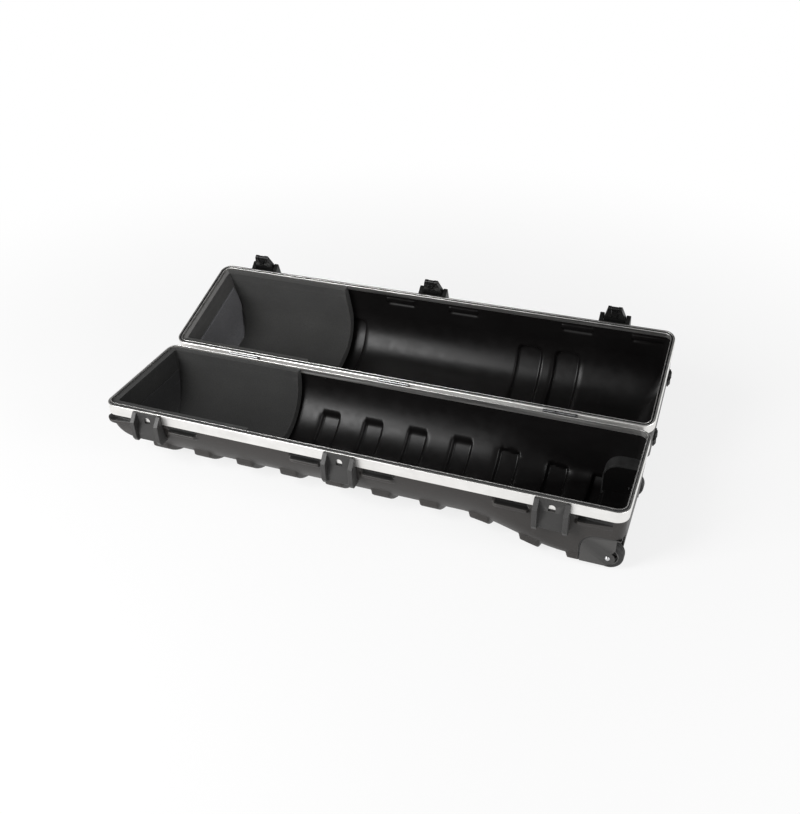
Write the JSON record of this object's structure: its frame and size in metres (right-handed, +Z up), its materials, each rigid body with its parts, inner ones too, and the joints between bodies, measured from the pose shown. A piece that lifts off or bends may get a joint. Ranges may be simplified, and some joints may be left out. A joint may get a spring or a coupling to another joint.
{
  "type": "wheeled hard travel case",
  "caption": "Long hard-shell wheeled travel case lying open: ribbed base and hinged lid in aluminium rims, foam-lined head end, draw latches, tow handle and corner wheels.",
  "frame": {"origin": "on the floor under the middle of the base's rib nearest the middle of its length", "axes": "+X along the case towards the wheels, +Y from the latches towards the hinges, +Z up"},
  "size_m": [1.3229, 0.6895, 0.3151],
  "materials": {
    "shell_plastic": "matte, finely textured",
    "rim_aluminium": "satin",
    "foam": "matte foam",
    "latch_plastic": "semi-gloss black",
    "steel": "plated",
    "soft_rubber": "matte",
    "wheel_plastic": "matte"
  },
  "bodies": {
    "base": {"base_shell": "shell_plastic", "base_rim": "rim_aluminium", "base_foam_end": "foam", "base_foam_wrap": "foam", "keeper_left": "shell_plastic", "keeper_middle": "shell_plastic", "keeper_right": "shell_plastic", "wheel_housing_front": "shell_plastic", "wheel_housing_rear": "shell_plastic", "axle_front": "steel", "axle_rear": "steel", "hinge_left_base_leaf": "steel", "hinge_middle_base_leaf": "steel", "hinge_right_base_leaf": "steel", "hinge_left_pin": "steel", "hinge_middle_pin": "steel", "hinge_right_pin": "steel", "handle_bracket": "shell_plastic"},
    "lid": {"lid_shell": "shell_plastic", "lid_rim": "rim_aluminium", "lid_foam_end": "foam", "lid_foam_wrap": "foam", "latch_housing_left": "latch_plastic", "latch_housing_middle": "latch_plastic", "latch_housing_right": "latch_plastic", "latch_pin_left": "steel", "latch_pin_middle": "steel", "latch_pin_right": "steel", "hinge_left_lid_leaf": "steel", "hinge_middle_lid_leaf": "steel", "hinge_right_lid_leaf": "steel", "lid_foot_front": "soft_rubber", "lid_foot_rear": "soft_rubber"},
    "flap_left": {"latch_flap_left": "latch_plastic", "trigger_pin_left": "steel"},
    "trigger_left": {"latch_trigger_left": "latch_plastic"},
    "flap_middle": {"latch_flap_middle": "latch_plastic", "trigger_pin_middle": "steel"},
    "trigger_middle": {"latch_trigger_middle": "latch_plastic"},
    "flap_right": {"latch_flap_right": "latch_plastic", "trigger_pin_right": "steel"},
    "trigger_right": {"latch_trigger_right": "latch_plastic"},
    "wheel_front": {"tyre_front": "soft_rubber", "hub_front": "wheel_plastic"},
    "wheel_rear": {"tyre_rear": "soft_rubber", "hub_rear": "wheel_plastic"},
    "tow_handle": {"handle_bail": "steel", "handle_grip": "soft_rubber"}
  },
  "joints": [
    {"name": "lid_hinge", "type": "hinge", "parent": "base", "child": "lid", "pos_m": [0.0405, 0.163, 0.1724], "axis": [1, 0, 0], "range_deg": [0, 162]},
    {"name": "flap_left_pivot", "type": "hinge", "parent": "lid", "child": "flap_left", "pos_m": [-0.4825, 0.49503, 0.24916], "axis": [-1, 0, 0], "range_deg": [0, 100]},
    {"name": "trigger_left_pivot", "type": "hinge", "parent": "flap_left", "child": "trigger_left", "pos_m": [-0.4825, 0.46971, 0.30928], "axis": [1, 0, 0], "range_deg": [0, 22], "stiffness_Nm_per_rad": 0.05},
    {"name": "flap_middle_pivot", "type": "hinge", "parent": "lid", "child": "flap_middle", "pos_m": [0.0355, 0.49503, 0.24916], "axis": [-1, 0, 0], "range_deg": [0, 100]},
    {"name": "trigger_middle_pivot", "type": "hinge", "parent": "flap_middle", "child": "trigger_middle", "pos_m": [0.0355, 0.46971, 0.30928], "axis": [1, 0, 0], "range_deg": [0, 22], "stiffness_Nm_per_rad": 0.05},
    {"name": "flap_right_pivot", "type": "hinge", "parent": "lid", "child": "flap_right", "pos_m": [0.5315, 0.49503, 0.24916], "axis": [-1, 0, 0], "range_deg": [0, 100]},
    {"name": "trigger_right_pivot", "type": "hinge", "parent": "flap_right", "child": "trigger_right", "pos_m": [0.5315, 0.46971, 0.30928], "axis": [1, 0, 0], "range_deg": [0, 22], "stiffness_Nm_per_rad": 0.05},
    {"name": "wheel_front_spin", "type": "hinge", "parent": "base", "child": "wheel_front", "pos_m": [0.657, -0.1282, 0.034], "axis": [0, 1, 0], "continuous": true},
    {"name": "wheel_rear_spin", "type": "hinge", "parent": "base", "child": "wheel_rear", "pos_m": [0.657, 0.1282, 0.034], "axis": [0, 1, 0], "continuous": true},
    {"name": "tow_handle_swing", "type": "hinge", "parent": "base", "child": "tow_handle", "pos_m": [-0.621, 0, 0.126], "axis": [0, 1, 0], "range_deg": [0, 110]}
  ]
}
